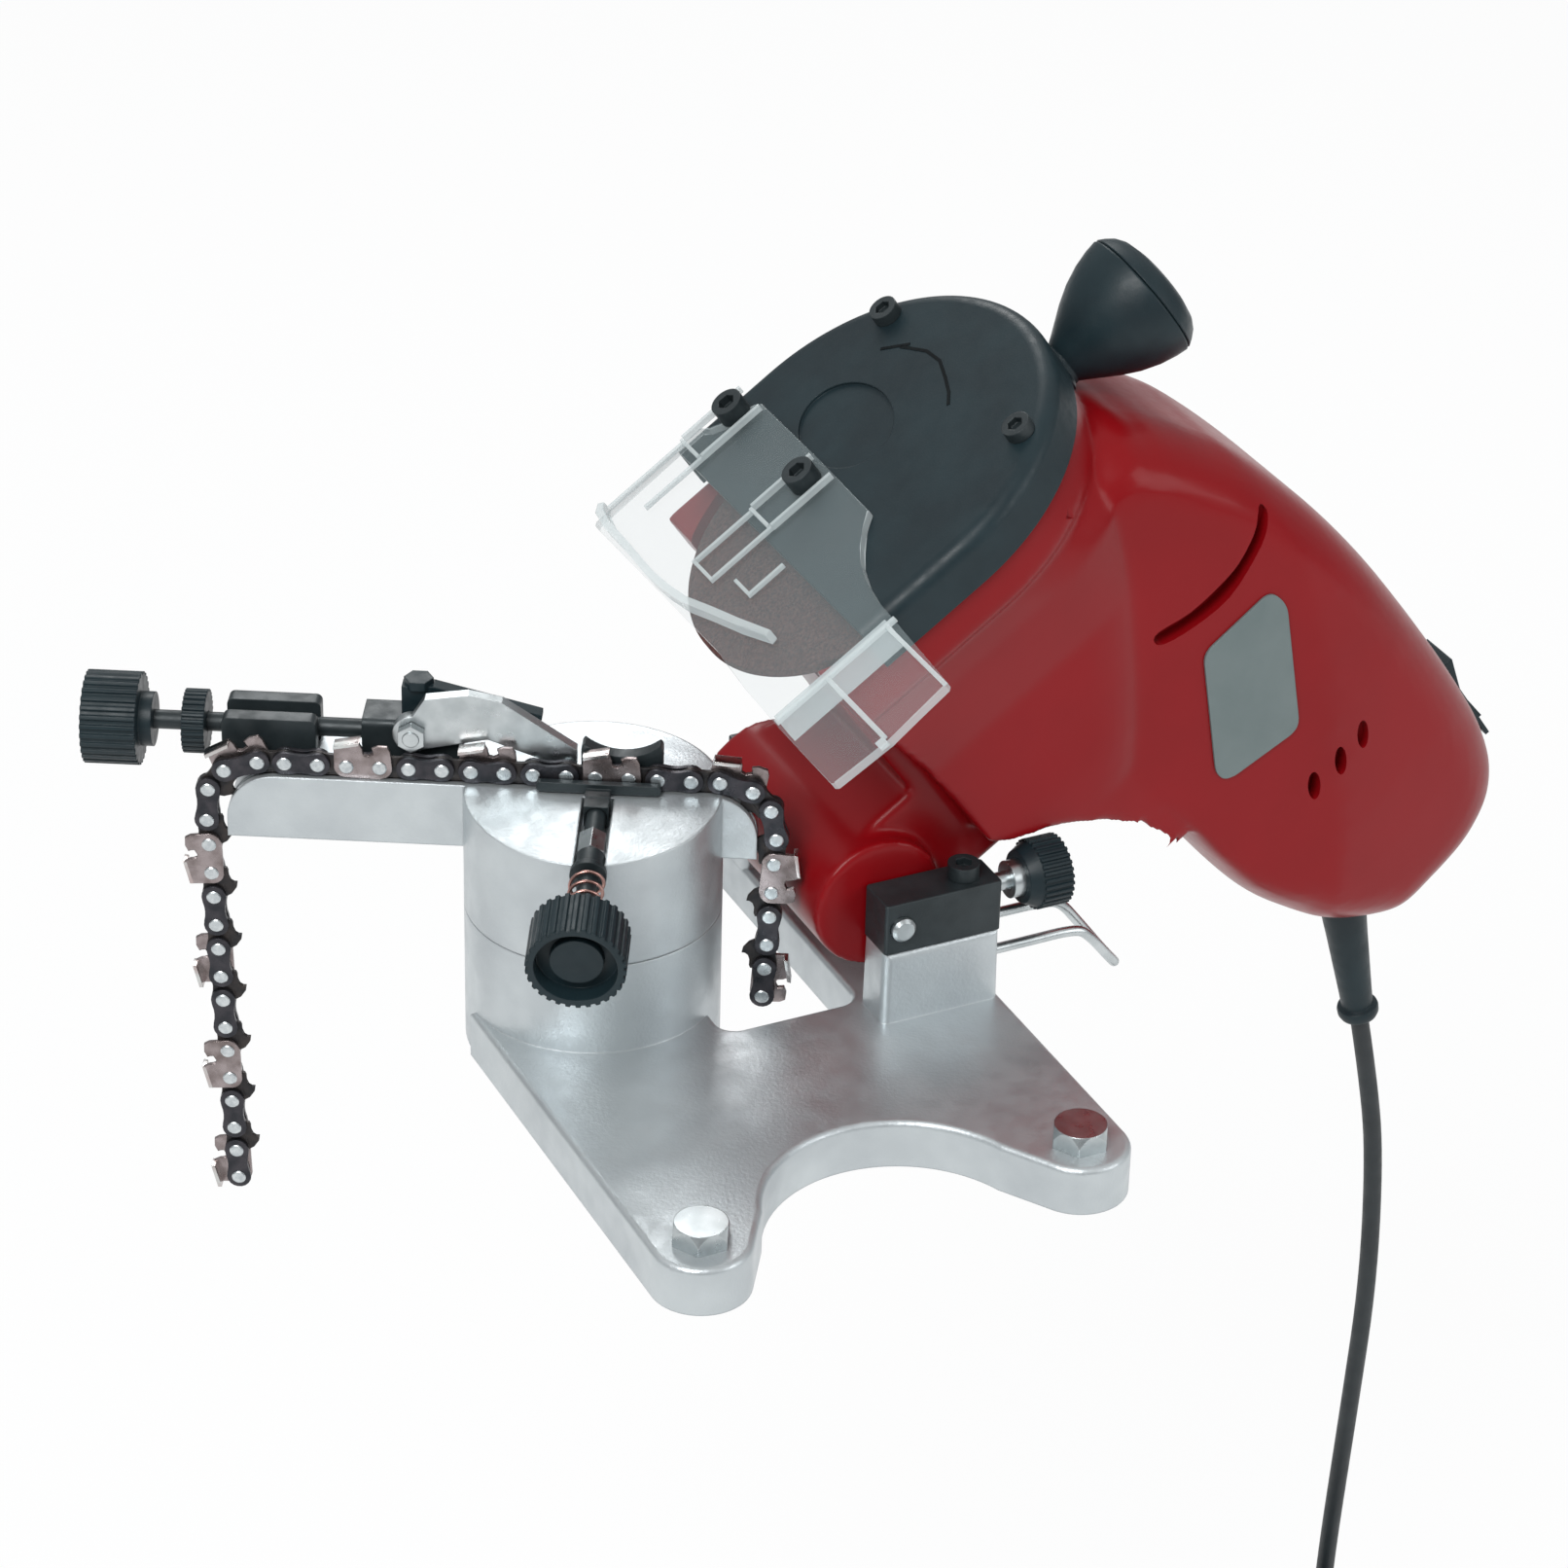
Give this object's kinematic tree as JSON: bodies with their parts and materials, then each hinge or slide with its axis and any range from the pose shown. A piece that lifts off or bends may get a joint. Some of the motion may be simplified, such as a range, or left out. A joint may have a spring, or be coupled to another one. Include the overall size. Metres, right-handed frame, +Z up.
{
  "type": "chainsaw chain sharpener",
  "caption": "Bench mounted electric saw chain grinder with tipping motor head, swivelling chain vise, tooth stop and sliding clear shield.",
  "frame": {"origin": "the vise swivel axis where it meets the plane of the base underside", "axes": "+X along the line of the two bench bolts toward the motor, +Y along the head hinge away from the user, +Z up"},
  "size_m": [0.4649, 0.2546, 0.6899],
  "materials": {
    "cast_aluminium": "sandcast",
    "black_steel": "blacked",
    "zinc_steel": "zinc plated",
    "spring_steel": "coppered",
    "black_plastic": "moulded",
    "red_plastic": "satin moulded",
    "clear_plastic": "clear moulded",
    "grey_plate": "plain",
    "abrasive": "bonded grit",
    "chain_steel": "blued",
    "cutter_steel": "hard chromed",
    "motor_steel": "laminated",
    "cord_rubber": "smooth"
  },
  "bodies": {
    "base": {"base_casting": "cast_aluminium", "hinge_blocks": "black_steel", "block_screws": "black_steel", "hinge_pin": "zinc_steel", "bench_bolts": "zinc_steel", "bent_rod": "zinc_steel"},
    "depth_stop": {"depth_screw": "zinc_steel", "depth_knob": "black_plastic"},
    "vise": {"swivel_stud": "zinc_steel", "swivel_washer": "zinc_steel", "swivel_nut": "zinc_steel", "vise_casting": "cast_aluminium", "clamp_sleeve": "zinc_steel", "rear_jaw": "black_steel", "guide_blocks": "black_steel", "top_run_drive_links": "chain_steel", "top_run_straps": "chain_steel", "top_run_cutters": "cutter_steel", "left_run_drive_links": "chain_steel", "left_run_plates": "chain_steel", "right_run_links": "chain_steel"},
    "clamp": {"clamp_screw": "black_steel", "clamp_collar": "black_steel", "clamp_spring": "spring_steel", "clamp_knob": "black_plastic"},
    "jaw": {"front_jaw": "black_steel"},
    "stop_screw": {"stop_rod": "black_steel", "stop_knob": "black_plastic"},
    "stop_lock": {"lock_nut": "black_plastic"},
    "stop_carriage": {"carriage": "black_steel", "stop_lever": "black_plastic", "pawl_bolt": "zinc_steel", "pawl_nut": "zinc_steel"},
    "stop_pawl": {"pawl": "zinc_steel"},
    "head": {"housing_near": "red_plastic", "housing_far": "red_plastic", "housing_screws": "zinc_steel", "wheel_cover": "black_plastic", "cover_screws": "black_steel", "handle": "black_plastic", "handle_cap": "black_plastic", "handle_stud": "zinc_steel", "shield_screws": "black_steel", "bearings": "zinc_steel", "stator": "motor_steel", "switch_frame": "black_plastic", "badge_plate": "grey_plate", "strain_relief": "black_plastic", "cord_tube": "cord_rubber", "cord_coil": "cord_rubber", "cord_tie": "black_plastic", "plug": "black_plastic"},
    "wheel_shaft": {"grinding_wheel": "abrasive", "wheel_flanges": "zinc_steel", "wheel_nut": "zinc_steel", "spindle": "zinc_steel", "cooling_fan": "black_plastic", "rotor": "motor_steel"},
    "switch": {"switch_rocker": "black_plastic"},
    "sight_shield": {"shield": "clear_plastic"}
  },
  "joints": [
    {"name": "vise_swivel", "type": "hinge", "parent": "base", "child": "vise", "pos_m": [0, 0, 0.0473], "axis": [0, 0, 1], "range_deg": [-6.6, 63.4], "deforming": ["right_run_links"]},
    {"name": "head_swing", "type": "hinge", "parent": "base", "child": "head", "pos_m": [0.078, 0, 0.05], "axis": [0, -1, 0], "range_deg": [0, 24]},
    {"name": "wheel_spin", "type": "hinge", "parent": "head", "child": "wheel_shaft", "pos_m": [0.08172, 0, 0.15906], "axis": [0.5736, 0, -0.8192], "continuous": true},
    {"name": "shield_slide", "type": "slide", "parent": "head", "child": "sight_shield", "axis": [0.8192, 0, 0.5736], "range_m": [0, 0.01]},
    {"name": "switch_rock", "type": "hinge", "parent": "head", "child": "switch", "pos_m": [0.30722, 0, 0.05302], "axis": [0, -1, 0], "range_deg": [0, 12]},
    {"name": "depth_turn", "type": "hinge", "parent": "base", "child": "depth_stop", "pos_m": [0.122, -0.0503, 0.0535], "axis": [1, 0, 0], "range_deg": [-360, 360]},
    {"name": "clamp_turn", "type": "hinge", "parent": "vise", "child": "clamp", "pos_m": [-0.03077, -0.06112, 0.07787], "axis": [-0.471, -0.8711, -0.1392], "range_deg": [0, 540]},
    {"name": "jaw_slide", "type": "slide", "parent": "vise", "child": "jaw", "axis": [-0.471, -0.8711, -0.1392], "range_m": [0, 0.0015]},
    {"name": "stop_turn", "type": "hinge", "parent": "vise", "child": "stop_screw", "pos_m": [-0.12481, 0.08454, 0.0955], "axis": [0.8796, -0.4756, 0], "range_deg": [-180, 1800]},
    {"name": "carriage_slide", "type": "slide", "parent": "vise", "child": "stop_carriage", "axis": [0.8796, -0.4756, 0], "range_m": [-0.005, 0.0005]},
    {"name": "lock_turn", "type": "hinge", "parent": "vise", "child": "stop_lock", "pos_m": [-0.10194, 0.07217, 0.0955], "axis": [0.8796, -0.4756, 0], "range_deg": [-360, 360]},
    {"name": "pawl_flip", "type": "hinge", "parent": "stop_carriage", "child": "stop_pawl", "pos_m": [-0.04664, 0.03147, 0.1008], "axis": [-0.4756, -0.8796, 0], "range_deg": [0, 70]}
  ],
  "couplings": [
    {"joint": "clamp_turn", "follows": "jaw_slide", "rad_per_m": 6283.2},
    {"joint": "stop_turn", "follows": "carriage_slide", "rad_per_m": -6283.2}
  ]
}
